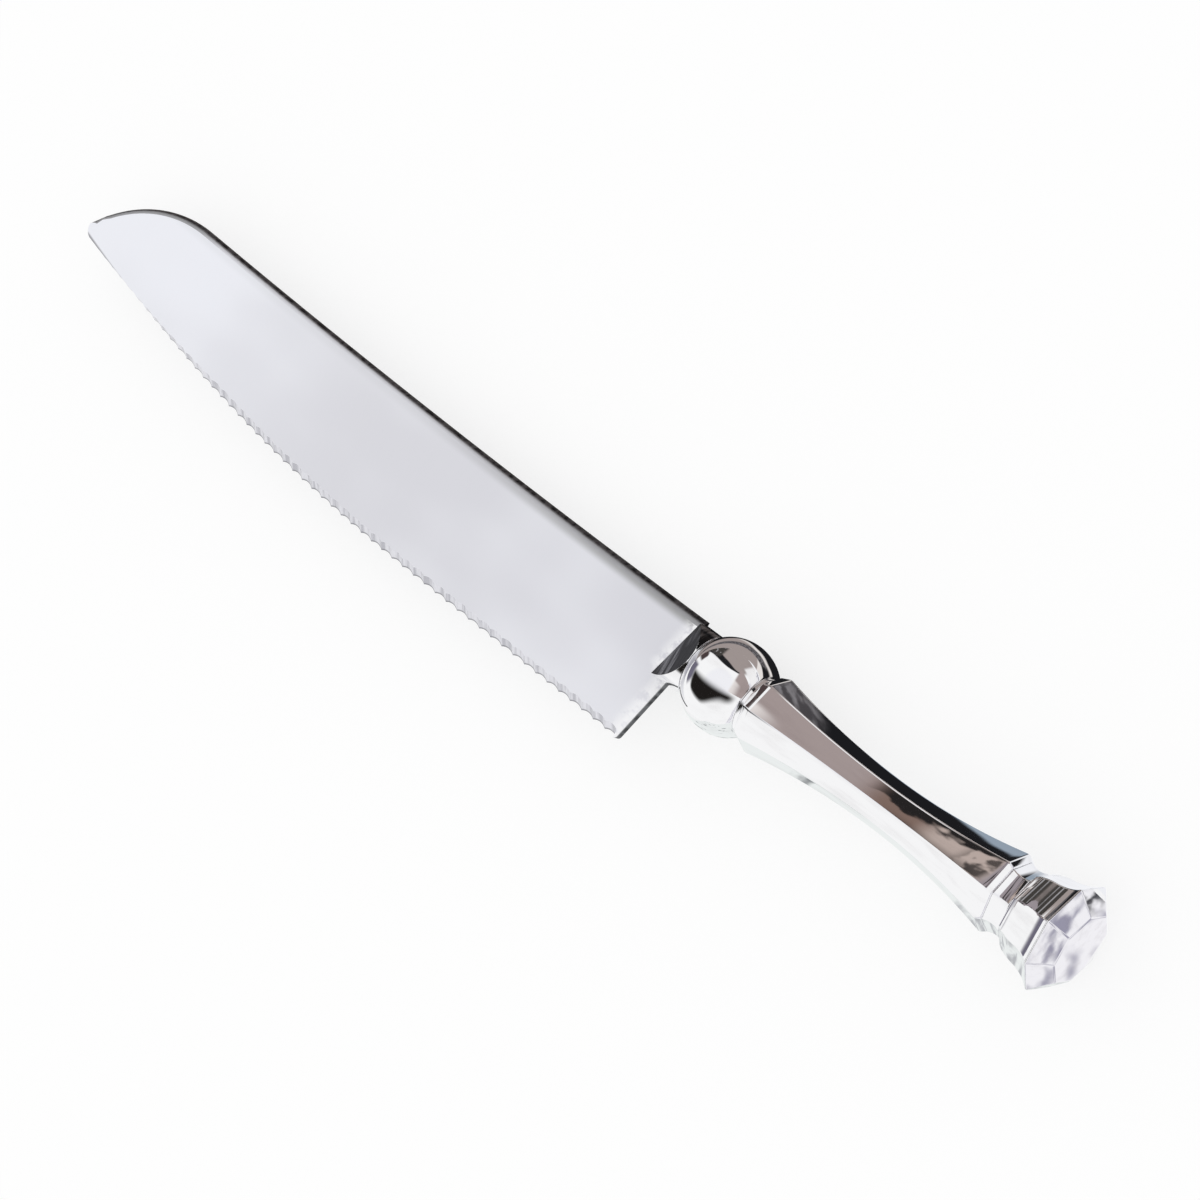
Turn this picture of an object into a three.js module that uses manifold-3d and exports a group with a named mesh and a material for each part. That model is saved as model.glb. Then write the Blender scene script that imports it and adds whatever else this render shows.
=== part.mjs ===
import * as THREE from 'three';
import { mergeVertices } from 'three/addons/utils/BufferGeometryUtils.js';
import Module from 'manifold-3d';

// A serrated knife whose handle is a stack of bright pieces on a threaded tang, in millimetres.
// x runs along the handle: 0 at the heel of the blade, the tip at -x and the pommel at +x.
// +y points to the spine, and +z out of the face of the blade that is ground to the teeth.

// Blade
const bladeLength = 204;
const bladeThickness = 2;
const edgeDrop = 24.3;
const edgeTiltDeg = 0.8;
const straightEdge = 72;
const heelSlantDeg = 11;
const heelCornerRadius = 1;
const spineHeight = 8.5;
const spineRise = 4.4;
const tipDropLength = 32;
const noseRadius = 3;
const noseDrop = 2.8;
const toothPitch = 3.7;
const toothDepth = 0.6;
const grindWidth = 1.9;
const grindScallop = 0.5;
const grindRunOut = 60;

// Tang and rod
const tangHeight = 12;
const nibLength = 8;
const nibInset = 0.4;
const rodRadius = 3;
const rodOverrun = 0.5;
const rodChamfer = 0.6;

// Bolster
const bolsterLength = 5.2;
const bolsterRadius = 7.8;
const bolsterLip = 0.8;
const bolsterReach = 2.2;
const cheekSlopeDeg = 40;
const cheekSlantDeg = 14;

// Knop and collars
const knopLength = 16;
const knopRadius = 11;
const frontCollarLength = 1.2;
const frontCollarRadius = 7.6;
const rearCollarLength = 4.4;
const rearCollarRadius = 8.7;
const rearCollarWaist = 8.1;

// Grip
const gripLength = 71.8;
const gripFrontRadius = 9.4;
const gripFrontEndRadius = 8.4;
const gripFrontChamfer = 2.4;
const gripWaistRadius = 6;
const gripWaistAt = 37.1;
const gripRearRadius = 9.7;
const gripRearEndRadius = 8.7;
const gripRearChamfer = 1.4;
const gripWaistWall = 1.5;
const seatWall = 1.8;
const seatDepth = 6;
const seatShoulder = 0.6;

// Pommel and cap
const pommelLength = 10.8;
const pommelNeckRadius = 9;
const pommelShoulderRadius = 11.3;
const pommelShoulderAt = 2.6;
const pommelFlareRadius = 10.3;
const pommelFlareBack = 3;
const pommelRimRadius = 13.4;
const pommelWall = 2.2;
const pommelWeb = 3;
const pommelTurnDeg = -12;
const capLength = 4.2;
const capFaceRadius = 8.6;
const capWall = 2;
const spigotLength = 2.6;
const spigotWall = 1.5;

// Washers and nut
const washerRadius = 6;
const flatWasherThickness = 1.2;
const springWasherThickness = 1.4;
const springWasherSlit = 0.8;
const nutFlats = 10;
const nutHeight = 4.5;

// Fits and smoothness
const fit = 0.15;
const seatGap = 0.3;
const cutOverrun = 1;
const facets = 8;
const roundSides = 24;
const smoothSides = 48;
const nutSides = 6;
const arcSteps = 10;
const toothSteps = 4;
const cornerSteps = 3;
const mergeDistance = 1e-5;

const wasm = await Module();
wasm.setup();

const steel = { color: 0xd5d6de, roughness: 0.34, metalness: 1 };
const plainSteel = { color: 0x9a9ca1, roughness: 0.4, metalness: 1 };
const chrome = { color: 0xe9e8ea, roughness: 0.06, metalness: 1 };
const plastic = { color: 0x2b2b2e, roughness: 0.6, metalness: 0 };

const assembly = new THREE.Group();

// A closed solid from a geometry: shared corners are merged and empty triangles dropped.
function solid(geometry) {
  geometry.deleteAttribute('normal');
  geometry.deleteAttribute('uv');
  const merged = mergeVertices(geometry, mergeDistance);
  const corners = merged.index.array;
  const triangles = [];
  for (let i = 0; i < corners.length; i += 3) {
    const [a, b, c] = corners.slice(i, i + 3);
    if (a !== b && b !== c && c !== a) triangles.push(a, b, c);
  }
  const vertProperties = new Float32Array(merged.attributes.position.array);
  const triVerts = new Uint32Array(triangles);
  return new wasm.Manifold(new wasm.Mesh({ numProp: 3, vertProperties, triVerts }));
}

function addPiece(name, body, look) {
  const { vertProperties, triVerts } = body.getMesh();
  const geometry = new THREE.BufferGeometry();
  geometry.setAttribute('position', new THREE.BufferAttribute(vertProperties, 3));
  geometry.setIndex(new THREE.BufferAttribute(triVerts, 1));
  geometry.computeVertexNormals();
  const material = new THREE.MeshStandardMaterial({ ...look, flatShading: true });
  const mesh = new THREE.Mesh(geometry, material);
  mesh.name = name;
  assembly.add(mesh);
}

// A body turned about the x axis from [x, radius] points that run towards +x.
// With few sides it is a faceted bar. A turn of 0 puts a corner at the spine side.
function turned(profile, sides = roundSides, turn = 0) {
  const first = profile[0][0];
  const last = profile[profile.length - 1][0];
  const outline = [[first, 0], ...profile, [last, 0]];
  const points = outline.map(([x, radius]) => new THREE.Vector2(radius, x));
  const lathe = new THREE.LatheGeometry(points, sides, turn);
  const { array } = lathe.attributes.position;
  for (let i = 0; i < array.length; i += 3) {
    const [across, along, up] = array.slice(i, i + 3);
    array.set([along, up, across], i);
  }
  return solid(lathe);
}

function cylinder(radius, from, to, sides = roundSides) {
  return turned([[from, radius], [to, radius]], sides);
}

function box(x, y, z, width, height, depth) {
  const geometry = new THREE.BoxGeometry(width, height, depth);
  geometry.translate(x, y, z);
  return solid(geometry);
}

// Height of an arc above its lowest point, at a distance from it, where the arc climbs rise over span.
function arcRise(distance, span, rise) {
  const radius = (span ** 2 + rise ** 2) / (2 * rise);
  return radius - Math.sqrt(radius ** 2 - distance ** 2);
}

function pointAt(centre, radius, angle) {
  return new THREE.Vector2(Math.cos(angle), Math.sin(angle)).multiplyScalar(radius).add(centre);
}

function arcPoints(centre, radius, from, to) {
  const points = [];
  for (let i = 0; i <= arcSteps; i += 1) {
    points.push(pointAt(centre, radius, THREE.MathUtils.lerp(from, to, i / arcSteps)));
  }
  return points;
}

// Places along the stack
const knopStart = bolsterLength;
const frontCollarStart = knopStart + knopLength;
const gripStart = frontCollarStart + frontCollarLength;
const rearCollarStart = gripStart + gripLength;
const pommelStart = rearCollarStart + rearCollarLength;
const capStart = pommelStart + pommelLength;
const washerStart = pommelStart + pommelWeb;
const springStart = washerStart + flatWasherThickness;
const nutStart = springStart + springWasherThickness;
const nutEnd = nutStart + nutHeight;
const rodStart = bolsterLength + seatGap;
const rodEnd = nutEnd + rodOverrun;
const nibEnd = bolsterLength + nibLength;
const holeRadius = rodRadius + fit;
const flatShare = Math.cos(Math.PI / facets);
const nutCorner = nutFlats / 2 / Math.cos(Math.PI / nutSides);

function cutThrough(body, from, to) {
  return body.subtract(cylinder(holeRadius, from - cutOverrun, to + cutOverrun));
}

// Blade: the back outline carries the teeth, the ground outline is drawn in along them.
function makeBlade() {
  const tangHalf = tangHeight / 2;
  const tilt = THREE.MathUtils.degToRad(edgeTiltDeg);
  const slant = THREE.MathUtils.degToRad(heelSlantDeg);
  const alongEdge = new THREE.Vector2(Math.cos(tilt), -Math.sin(tilt));
  const edgeOut = new THREE.Vector2(-Math.sin(tilt), -Math.cos(tilt));
  const alongHeel = new THREE.Vector2(Math.sin(slant), Math.cos(slant));
  const heelOut = new THREE.Vector2(Math.cos(slant), -Math.sin(slant));
  const corner = new THREE.Vector2((tangHalf - edgeDrop) * Math.tan(slant), -edgeDrop);
  const nose = new THREE.Vector2(noseRadius - bladeLength, -noseDrop);
  const edgeEnd = corner.clone().addScaledVector(alongEdge, -straightEdge);

  const spineRun = bladeLength - tipDropLength;
  const spinePoints = [];
  for (let i = 1; i < arcSteps; i += 1) {
    const run = (spineRun * i) / arcSteps;
    spinePoints.push(new THREE.Vector2(-run, spineHeight + arcRise(run, spineRun, spineRise)));
  }
  const spineEnd = new THREE.Vector2(-spineRun, spineHeight + spineRise);
  const spineTurn = 2 * Math.atan(spineRise / spineRun);
  const spineUp = new THREE.Vector2(Math.sin(spineTurn), Math.cos(spineTurn));

  // Arc that leaves a side at a point and runs into the nose.
  function arcToNose(start, outward) {
    const toNose = nose.clone().sub(start);
    const depth = -toNose.dot(outward);
    const radius = (toNose.lengthSq() - noseRadius ** 2) / (2 * (depth - noseRadius));
    const centre = start.clone().addScaledVector(outward, -radius);
    return { centre, radius };
  }

  const tip = arcToNose(spineEnd, spineUp);
  const belly = arcToNose(edgeEnd, edgeOut);
  const tipAngle = nose.clone().sub(tip.centre).angle();
  const bellyAngle = nose.clone().sub(belly.centre).angle();
  const edgeAngle = edgeOut.angle();
  const heelAngle = heelOut.angle();
  const cornerRun = heelCornerRadius * Math.tan((heelAngle - edgeAngle) / 2);
  const bellyRun = belly.radius * (edgeAngle - bellyAngle);
  const edgeRun = bellyRun + straightEdge - cornerRun;

  const back = [];
  const ground = [];
  const both = (points) => {
    back.push(...points);
    ground.push(...points);
  };

  both(arcPoints(tip.centre, tip.radius, spineUp.angle(), tipAngle));
  both(arcPoints(nose, noseRadius, tipAngle, bellyAngle).slice(1, -1));

  const toothCount = Math.round(edgeRun / toothPitch);
  for (let i = 0; i <= toothCount * toothSteps; i += 1) {
    const run = (edgeRun * i) / (toothCount * toothSteps);
    const angle = Math.min(bellyAngle + run / belly.radius, edgeAngle);
    const inward = pointAt(new THREE.Vector2(), -1, angle);
    const point = pointAt(belly.centre, belly.radius, angle);
    point.addScaledVector(alongEdge, Math.max(run - bellyRun, 0));
    const phase = (i % toothSteps) / toothSteps;
    const hollow = 1 - (2 * phase - 1) ** 2;
    const fade = Math.min(run / grindRunOut, 1);
    back.push(point.clone().addScaledVector(inward, fade * toothDepth * hollow));
    ground.push(point.clone().addScaledVector(inward, fade * (grindWidth + grindScallop * hollow)));
  }

  // The corner of the heel is rounded on the back, and cut square by the ground band in front.
  const cornerCentre = corner.clone()
    .addScaledVector(alongEdge, -cornerRun)
    .addScaledVector(edgeOut, -heelCornerRadius);
  const groundFrom = ground[ground.length - 1];
  const groundTo = corner.clone().addScaledVector(alongHeel, -grindWidth / alongHeel.dot(edgeOut));
  for (let i = 1; i <= cornerSteps; i += 1) {
    const share = i / cornerSteps;
    const angle = THREE.MathUtils.lerp(edgeAngle, heelAngle, share);
    back.push(pointAt(cornerCentre, heelCornerRadius, angle));
    ground.push(groundFrom.clone().lerp(groundTo, share));
  }

  const nibHalf = rodRadius - nibInset;
  const tangEnd = bolsterLength - seatGap;
  const upper = [[nibEnd, nibHalf], [tangEnd, nibHalf], [tangEnd, tangHalf], [0, tangHalf]];
  const lower = upper.map(([x, y]) => [x, -y]).reverse();
  both([...lower, ...upper, [0, spineHeight]].map(([x, y]) => new THREE.Vector2(x, y)));
  both(spinePoints);

  const count = back.length;
  const half = bladeThickness / 2;
  const positions = [
    ...back.flatMap(({ x, y }) => [x, y, -half]),
    ...ground.flatMap(({ x, y }) => [x, y, half]),
  ];
  const backFace = THREE.ShapeUtils.triangulateShape(back, []).flatMap(([a, b, c]) => [c, b, a]);
  const groundFace = THREE.ShapeUtils.triangulateShape(ground, []).flat().map((i) => i + count);
  const rim = back.flatMap((_, i) => {
    const next = (i + 1) % count;
    return [i, next, next + count, i, next + count, i + count];
  });
  const geometry = new THREE.BufferGeometry();
  geometry.setAttribute('position', new THREE.Float32BufferAttribute(positions, 3));
  geometry.setIndex([...backFace, ...groundFace, ...rim]);
  return solid(geometry);
}

// Bolster: a round neck cut to two slanted cheeks, with a slot for the blade and the tang.
function makeBolster() {
  const slotDepth = bladeThickness + 2 * fit;
  const reach = 2 * bolsterRadius;
  const span = 2 * reach;
  const lipHalf = slotDepth / 2 + bolsterLip;
  const rearX = bolsterLength + bolsterRadius;
  const rearHalf = lipHalf + (rearX + bolsterReach) * Math.tan(THREE.MathUtils.degToRad(cheekSlopeDeg));
  const section = new THREE.Shape([
    new THREE.Vector2(-bolsterReach, -lipHalf),
    new THREE.Vector2(rearX, -rearHalf),
    new THREE.Vector2(rearX, rearHalf),
    new THREE.Vector2(-bolsterReach, lipHalf),
  ]);
  const wedge = new THREE.ExtrudeGeometry(section, { depth: span, bevelEnabled: false });
  wedge.rotateX(Math.PI / 2);
  wedge.translate(0, reach, 0);
  wedge.rotateZ(-THREE.MathUtils.degToRad(cheekSlantDeg));
  const neck = cylinder(bolsterRadius, -bolsterReach - bolsterRadius, bolsterLength, smoothSides);
  const tangSlot = box(bolsterLength / 2, 0, 0, span, tangHeight + 2 * fit, slotDepth);
  const bladeSlot = box(-reach, 0, 0, span, span, slotDepth);
  return neck.intersect(solid(wedge)).subtract(tangSlot).subtract(bladeSlot);
}

function makeTangRod() {
  const bar = turned([
    [rodStart, rodRadius],
    [rodEnd - rodChamfer, rodRadius],
    [rodEnd, rodRadius - rodChamfer],
  ]);
  const forkEnd = nibEnd + seatGap;
  const forkLength = forkEnd - rodStart + cutOverrun;
  const forkX = forkEnd - forkLength / 2;
  const width = 2 * (rodRadius + cutOverrun);
  return bar.subtract(box(forkX, 0, 0, forkLength, width, bladeThickness + 2 * fit));
}

// Knop: a round ball cut flat at both ends.
function makeKnop() {
  const half = knopLength / 2;
  const profile = [];
  for (let i = 0; i <= arcSteps; i += 1) {
    const x = THREE.MathUtils.lerp(-half, half, i / arcSteps);
    profile.push([knopStart + half + x, Math.sqrt(knopRadius ** 2 - x ** 2)]);
  }
  return cutThrough(turned(profile, smoothSides), knopStart, frontCollarStart);
}

const frontSeatRadius = gripFrontEndRadius * flatShare - seatWall;
const rearSeatRadius = gripRearEndRadius * flatShare - seatWall;
const frontSeatEnd = gripStart + seatDepth;
const rearSeatStart = rearCollarStart - seatDepth;

// Grip: faceted outside, with a round core that narrows to the waist and a seat for a bush at each end.
function makeGrip() {
  const frontRim = gripFrontChamfer;
  const rearRim = gripLength - gripRearChamfer;
  const profile = [[gripStart, gripFrontEndRadius]];
  for (let i = 0; i <= arcSteps; i += 1) {
    const x = THREE.MathUtils.lerp(frontRim, gripWaistAt, i / arcSteps);
    const rise = arcRise(gripWaistAt - x, gripWaistAt - frontRim, gripFrontRadius - gripWaistRadius);
    profile.push([gripStart + x, gripWaistRadius + rise]);
  }
  for (let i = 1; i <= arcSteps; i += 1) {
    const x = THREE.MathUtils.lerp(gripWaistAt, rearRim, i / arcSteps);
    const rise = arcRise(x - gripWaistAt, rearRim - gripWaistAt, gripRearRadius - gripWaistRadius);
    profile.push([gripStart + x, gripWaistRadius + rise]);
  }
  profile.push([rearCollarStart, gripRearEndRadius]);

  const core = turned([
    [frontSeatEnd - cutOverrun, frontSeatRadius - seatShoulder],
    [gripStart + gripWaistAt, gripWaistRadius * flatShare - gripWaistWall],
    [rearSeatStart + cutOverrun, rearSeatRadius - seatShoulder],
  ]);
  return turned(profile, facets)
    .subtract(core)
    .subtract(cylinder(frontSeatRadius, gripStart - cutOverrun, frontSeatEnd))
    .subtract(cylinder(rearSeatRadius, rearSeatStart, rearCollarStart + cutOverrun));
}

function makeRearCollar() {
  const half = rearCollarLength / 2;
  const profile = [];
  for (let i = 0; i <= arcSteps; i += 1) {
    const x = THREE.MathUtils.lerp(-half, half, i / arcSteps);
    const rise = arcRise(x, half, rearCollarRadius - rearCollarWaist);
    profile.push([rearCollarStart + half + x, rearCollarWaist + rise]);
  }
  return cutThrough(turned(profile, facets), rearCollarStart, pommelStart);
}

const pommelTurn = THREE.MathUtils.degToRad(pommelTurnDeg);
const cupFrontRadius = washerRadius + fit;
const cupRearRadius = pommelRimRadius * flatShare - pommelWall;

function cupRadius(x) {
  return THREE.MathUtils.mapLinear(x, washerStart, capStart, cupFrontRadius, cupRearRadius);
}

// Pommel: a faceted bell with a web for the nut and an open cup behind it.
function makePommel() {
  const bell = new THREE.CubicBezierCurve(
    new THREE.Vector2(pommelStart, pommelNeckRadius),
    new THREE.Vector2(pommelStart + pommelShoulderAt, pommelShoulderRadius),
    new THREE.Vector2(capStart - pommelFlareBack, pommelFlareRadius),
    new THREE.Vector2(capStart, pommelRimRadius),
  );
  const profile = bell.getPoints(arcSteps).map(({ x, y }) => [x, y]);
  const cup = turned([
    [washerStart, cupFrontRadius],
    [capStart + cutOverrun, cupRadius(capStart + cutOverrun)],
  ]);
  return cutThrough(turned(profile, facets, pommelTurn), pommelStart, washerStart).subtract(cup);
}

// End cap: a bevelled faceted face with a ring that plugs the pommel's cup.
function makeEndCap() {
  const capEnd = capStart + capLength;
  const spigotStart = capStart - spigotLength;
  const face = turned([[capStart, pommelRimRadius], [capEnd, capFaceRadius]], facets, pommelTurn);
  const spigot = turned([
    [spigotStart, cupRadius(spigotStart) - fit],
    [capStart, cupRadius(capStart) - fit],
    [capStart + capWall, cupRadius(capStart) - fit],
  ]);
  const recessRadius = cupRadius(spigotStart) - fit - spigotWall;
  const recess = cylinder(recessRadius, spigotStart - cutOverrun, capEnd - capWall);
  return face.add(spigot).subtract(recess);
}

function makeRing(radius, from, to, sides = roundSides) {
  return cutThrough(cylinder(radius, from, to, sides), from, to);
}

function makeSpringWasher() {
  const ring = makeRing(washerRadius, springStart, nutStart);
  const width = springWasherThickness + 2 * cutOverrun;
  const middle = (springStart + nutStart) / 2;
  return ring.subtract(box(middle, washerRadius, 0, width, 2 * washerRadius, springWasherSlit));
}

addPiece('blade', makeBlade(), steel);
addPiece('bolster', makeBolster(), chrome);
addPiece('tang_rod', makeTangRod(), plainSteel);
addPiece('knop', makeKnop(), chrome);
addPiece('front_collar', makeRing(frontCollarRadius, frontCollarStart, gripStart, smoothSides), chrome);
addPiece('grip', makeGrip(), chrome);
addPiece('front_bush', makeRing(frontSeatRadius - fit, gripStart, frontSeatEnd), plastic);
addPiece('rear_bush', makeRing(rearSeatRadius - fit, rearSeatStart, rearCollarStart), plastic);
addPiece('rear_collar', makeRearCollar(), chrome);
addPiece('pommel', makePommel(), chrome);
addPiece('flat_washer', makeRing(washerRadius, washerStart, springStart), plainSteel);
addPiece('spring_washer', makeSpringWasher(), plainSteel);
addPiece('pommel_nut', makeRing(nutCorner, nutStart, nutEnd, nutSides), plainSteel);
addPiece('end_cap', makeEndCap(), chrome);

// The knife lies on its side, with the origin under the middle of its bounding box.
const bounds = new THREE.Box3().setFromObject(assembly, true);
const middle = bounds.getCenter(new THREE.Vector3());
assembly.position.set(-middle.x, -middle.y, -bounds.min.z);

const knife = new THREE.Group();
knife.add(assembly);

export default knife;
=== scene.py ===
import math
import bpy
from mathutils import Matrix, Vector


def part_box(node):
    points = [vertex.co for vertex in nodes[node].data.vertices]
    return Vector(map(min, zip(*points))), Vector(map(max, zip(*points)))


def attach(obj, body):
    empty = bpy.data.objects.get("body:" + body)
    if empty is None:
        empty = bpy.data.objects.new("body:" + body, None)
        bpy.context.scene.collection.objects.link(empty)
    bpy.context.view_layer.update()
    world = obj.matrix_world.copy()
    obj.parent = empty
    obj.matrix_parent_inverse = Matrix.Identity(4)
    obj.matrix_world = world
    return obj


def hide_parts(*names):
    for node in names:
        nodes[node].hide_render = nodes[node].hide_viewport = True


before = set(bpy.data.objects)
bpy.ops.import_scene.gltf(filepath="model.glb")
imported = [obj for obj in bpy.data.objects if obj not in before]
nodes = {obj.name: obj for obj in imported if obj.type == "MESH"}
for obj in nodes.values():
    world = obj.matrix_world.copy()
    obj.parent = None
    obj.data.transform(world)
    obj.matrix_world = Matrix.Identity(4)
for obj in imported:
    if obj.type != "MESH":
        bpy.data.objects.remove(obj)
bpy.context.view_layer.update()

from types import SimpleNamespace

import bmesh
import bpy
from mathutils import Matrix, Vector

mm = 0.001
near = 0.01  # slack in millimetres when points are compared
joinGap = 0.0005  # millimetres within which two points of a turned piece become one
print("frame loaded:", len(nodes), "nodes")

knopLow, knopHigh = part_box("knop")
axisY = (knopLow.y + knopHigh.y) / 2
axisZ = (knopLow.z + knopHigh.z) / 2


# Shader sockets as Python values

class Wire:
    def __init__(self, tree, socket=None):
        self.tree = tree
        self.socket = socket

    def add(self, kind, settings, sockets, out=0):
        node = self.tree.nodes.new(kind)
        for key, value in settings.items():
            setattr(node, key, value)
        for key, value in sockets.items():
            if isinstance(value, Wire):
                self.tree.links.new(value.socket, node.inputs[key])
            else:
                node.inputs[key].default_value = value
        return Wire(self.tree, node.outputs[out]) if node.outputs else Wire(self.tree)

    def maths(self, operation, first, second):
        return self.add("ShaderNodeMath", {"operation": operation}, {0: first, 1: second})

    def __add__(self, other):
        return self.maths("ADD", self, other)

    def __radd__(self, other):
        return self.maths("ADD", other, self)

    def __sub__(self, other):
        return self.maths("SUBTRACT", self, other)

    def __rsub__(self, other):
        return self.maths("SUBTRACT", other, self)

    def __mul__(self, other):
        return self.maths("MULTIPLY", self, other)

    def __rmul__(self, other):
        return self.maths("MULTIPLY", other, self)

    def ease(self, low, high):  # 0 at low, 1 at high, smooth between
        return self.add("ShaderNodeMapRange", {"interpolation_type": "SMOOTHSTEP"},
                        {"Value": self, "From Min": low, "From Max": high})

    def band(self, start, full, fading, gone):  # 1 from full to fading, 0 outside
        return self.ease(start, full) * self.ease(gone, fading)

    def tint(self, first, second):  # first where the mask is 0, second where it is 1
        return self.add("ShaderNodeMix", {"data_type": "RGBA"}, {0: self, 6: first, 7: second}, 2)

    def noise(self, scale, detail=2):
        place = self.add("ShaderNodeMapping", {}, {"Vector": self, "Scale": scale})
        return self.add("ShaderNodeTexNoise", {}, {"Vector": place, "Scale": 1.0, "Detail": detail})

    def away(self, centre):  # distance from a point
        return self.add("ShaderNodeVectorMath", {"operation": "DISTANCE"}, {0: self, 1: centre}, "Value")

    def split(self):
        parts = self.add("ShaderNodeSeparateXYZ", {}, {0: self}).socket.node
        return [Wire(self.tree, out) for out in parts.outputs]


def newFinish(name):
    material = bpy.data.materials.new(name)
    material.use_nodes = True
    material.node_tree.nodes.clear()
    return material, Wire(material.node_tree)


def onPiece(sheet):  # a point's place in the part's frame, in metres
    return sheet.add("ShaderNodeTexCoord", {}, {}, "Object")


def shade(sheet, base, roughness, height, rise, metallic=1.0):
    bump = sheet.add("ShaderNodeBump", {}, {"Strength": 1.0, "Distance": rise, "Height": height})
    surface = sheet.add("ShaderNodeBsdfPrincipled", {}, {
        "Base Color": base, "Roughness": roughness, "Metallic": metallic, "Normal": bump})
    sheet.add("ShaderNodeOutputMaterial", {}, {"Surface": surface})


# Finishes of the handle and of the pieces inside it

mirrorLook = {"dull": (0.85, 0.845, 0.855, 1), "clear": (0.93, 0.93, 0.94, 1), "wave": (75, 75, 75),
              "haze": (60, 420, 420), "hazeFade": (0.45, 0.75), "peel": (1300, 1300, 1300),
              "peelShare": 0.012, "rough": 0.03, "hazeRough": 0.05, "rise": 0.0001}


def mirrorMoulding():
    look = mirrorLook
    material, sheet = newFinish("mirrorMoulding")
    place = onPiece(sheet)
    wave = place.noise(look["wave"], detail=1)
    haze = place.noise(look["haze"], detail=4).ease(*look["hazeFade"])
    peel = place.noise(look["peel"], detail=1)
    base = haze.tint(look["clear"], look["dull"])
    height = wave + look["peelShare"] * peel
    shade(sheet, base, look["rough"] + look["hazeRough"] * haze, height, look["rise"])
    return material


darkReflectionLook = {"dull": (0.02, 0.02, 0.022, 1), "clear": (0.3, 0.3, 0.31, 1), "grain": (620, 70, 160),
             "slant": -14, "streakFade": (0.46, 0.7), "rough": 0.12, "grainRough": 0.2, "rise": 0.00006}


# painted dark reflection: metal coloured near black with lighter slanted streaks, for the bolster's top and
# cheek
def paintedReflectionCheek():
    look = darkReflectionLook
    material, sheet = newFinish("paintedReflectionCheek")
    slanted = {"Vector": onPiece(sheet), "Rotation": (0, 0, math.radians(look["slant"]))}
    grain = sheet.add("ShaderNodeMapping", {}, slanted).noise(look["grain"])
    streak = grain.ease(*look["streakFade"])
    base = streak.tint(look["dull"], look["clear"])
    shade(sheet, base, look["rough"] + look["grainRough"] * streak, grain, look["rise"])
    return material


turnedLook = {"dull": (0.5, 0.51, 0.53, 1), "clear": (0.66, 0.67, 0.69, 1), "grain": (2600, 90, 90),
              "fade": (0.35, 0.65), "rough": 0.3, "grainRough": 0.2, "rise": 0.00002}

bushLook = {"dull": (0.12, 0.12, 0.13, 1), "clear": (0.2, 0.2, 0.21, 1), "grain": (1800, 1800, 1800),
            "fade": (0.3, 0.7), "rough": 0.5, "grainRough": 0.2, "rise": 0.00003}


def evenGrain(name, look, metallic):
    material, sheet = newFinish(name)
    grain = onPiece(sheet).noise(look["grain"], detail=3)
    base = grain.ease(*look["fade"]).tint(look["dull"], look["clear"])
    shade(sheet, base, look["rough"] + look["grainRough"] * grain, grain, look["rise"], metallic)
    return material


finishes = {"mirror": mirrorMoulding(), "cheek": paintedReflectionCheek(),
            "turned": evenGrain("turnedSteel", turnedLook, 1.0),
            "bush": evenGrain("mouldedBushPlastic", bushLook, 0.0)}
print("handle finishes made:", len(finishes))


# Drawing a profile point by point, and turning it

def lineTo(bm, point, x, y):
    after = bmesh.ops.extrude_vert_indiv(bm, verts=[point])["verts"][0]
    after.co = (x, y, point.co.z)
    return after


def arcTo(bm, point, centre, angle, steps):
    spun = bmesh.ops.spin(bm, geom=[point], cent=(centre[0], centre[1], point.co.z), axis=(0, 0, 1),
                          angle=angle, steps=steps)
    return [part for part in spun["geom_last"] if isinstance(part, bmesh.types.BMVert)][0]


def bowTo(bm, point, x, y, rise, steps):  # an arc to a point, its middle off the chord by rise
    start = point.co.xy
    chord = Vector((x, y)) - start
    half = chord.length / 2
    radius = (half * half + rise * rise) / (2 * rise)
    side = Vector((-chord.y, chord.x)).normalized()
    centre = start + chord / 2 - side * (radius - rise)
    angle = -2 * math.copysign(math.asin(half / abs(radius)), rise)
    return arcTo(bm, point, centre, angle, steps)


def turnSolid(bm, sides, turn=0):
    start = Matrix.Rotation(math.radians(turn), 3, "X")
    bmesh.ops.rotate(bm, verts=bm.verts[:], cent=(0, 0, 0), matrix=start)
    bmesh.ops.spin(bm, geom=bm.verts[:] + bm.edges[:], cent=(0, 0, 0), axis=(1, 0, 0),
                   angle=2 * math.pi, steps=sides, use_merge=True)
    bmesh.ops.remove_doubles(bm, verts=bm.verts[:], dist=joinGap)
    bmesh.ops.recalc_face_normals(bm, faces=bm.faces[:])


def roundEdges(bm, edges, size):
    bmesh.ops.bevel(bm, geom=edges, offset=size["edgeRound"], offset_type="OFFSET", segments=size["segments"],
                    profile=0.5, affect="EDGES", material=-1, clamp_overlap=True)


def fromAxis(vert):
    return vert.co.yz.length


def sharpEdges(bm, size):
    return [edge for edge in bm.edges
            if edge.is_manifold and edge.calc_face_angle() > math.radians(size["least"])]


def outerEdges(bm, size):  # sharp edges away from the bore
    return [edge for edge in sharpEdges(bm, size)
            if min(fromAxis(vert) for vert in edge.verts) > size["edgesFrom"]]


def putPiece(bm, name, node, finish, place, keep=40):
    bmesh.ops.transform(bm, matrix=place, verts=bm.verts[:])
    mesh = bpy.data.meshes.new(name)
    bm.to_mesh(mesh)
    bm.free()
    for face in mesh.polygons:
        face.use_smooth = True
    mesh.set_sharp_from_angle(angle=math.radians(keep))
    for each in finish:
        mesh.materials.append(finishes[each])
    piece = bpy.data.objects.new(name, mesh)
    bpy.context.scene.collection.objects.link(piece)
    flats = piece.modifiers.new("flatFaces", "WEIGHTED_NORMAL")
    flats.keep_sharp = True
    flats.weight = 90  # large faces lead
    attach(piece, "root")
    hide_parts(node)
    print("piece:", name, len(mesh.polygons), "faces")


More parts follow.
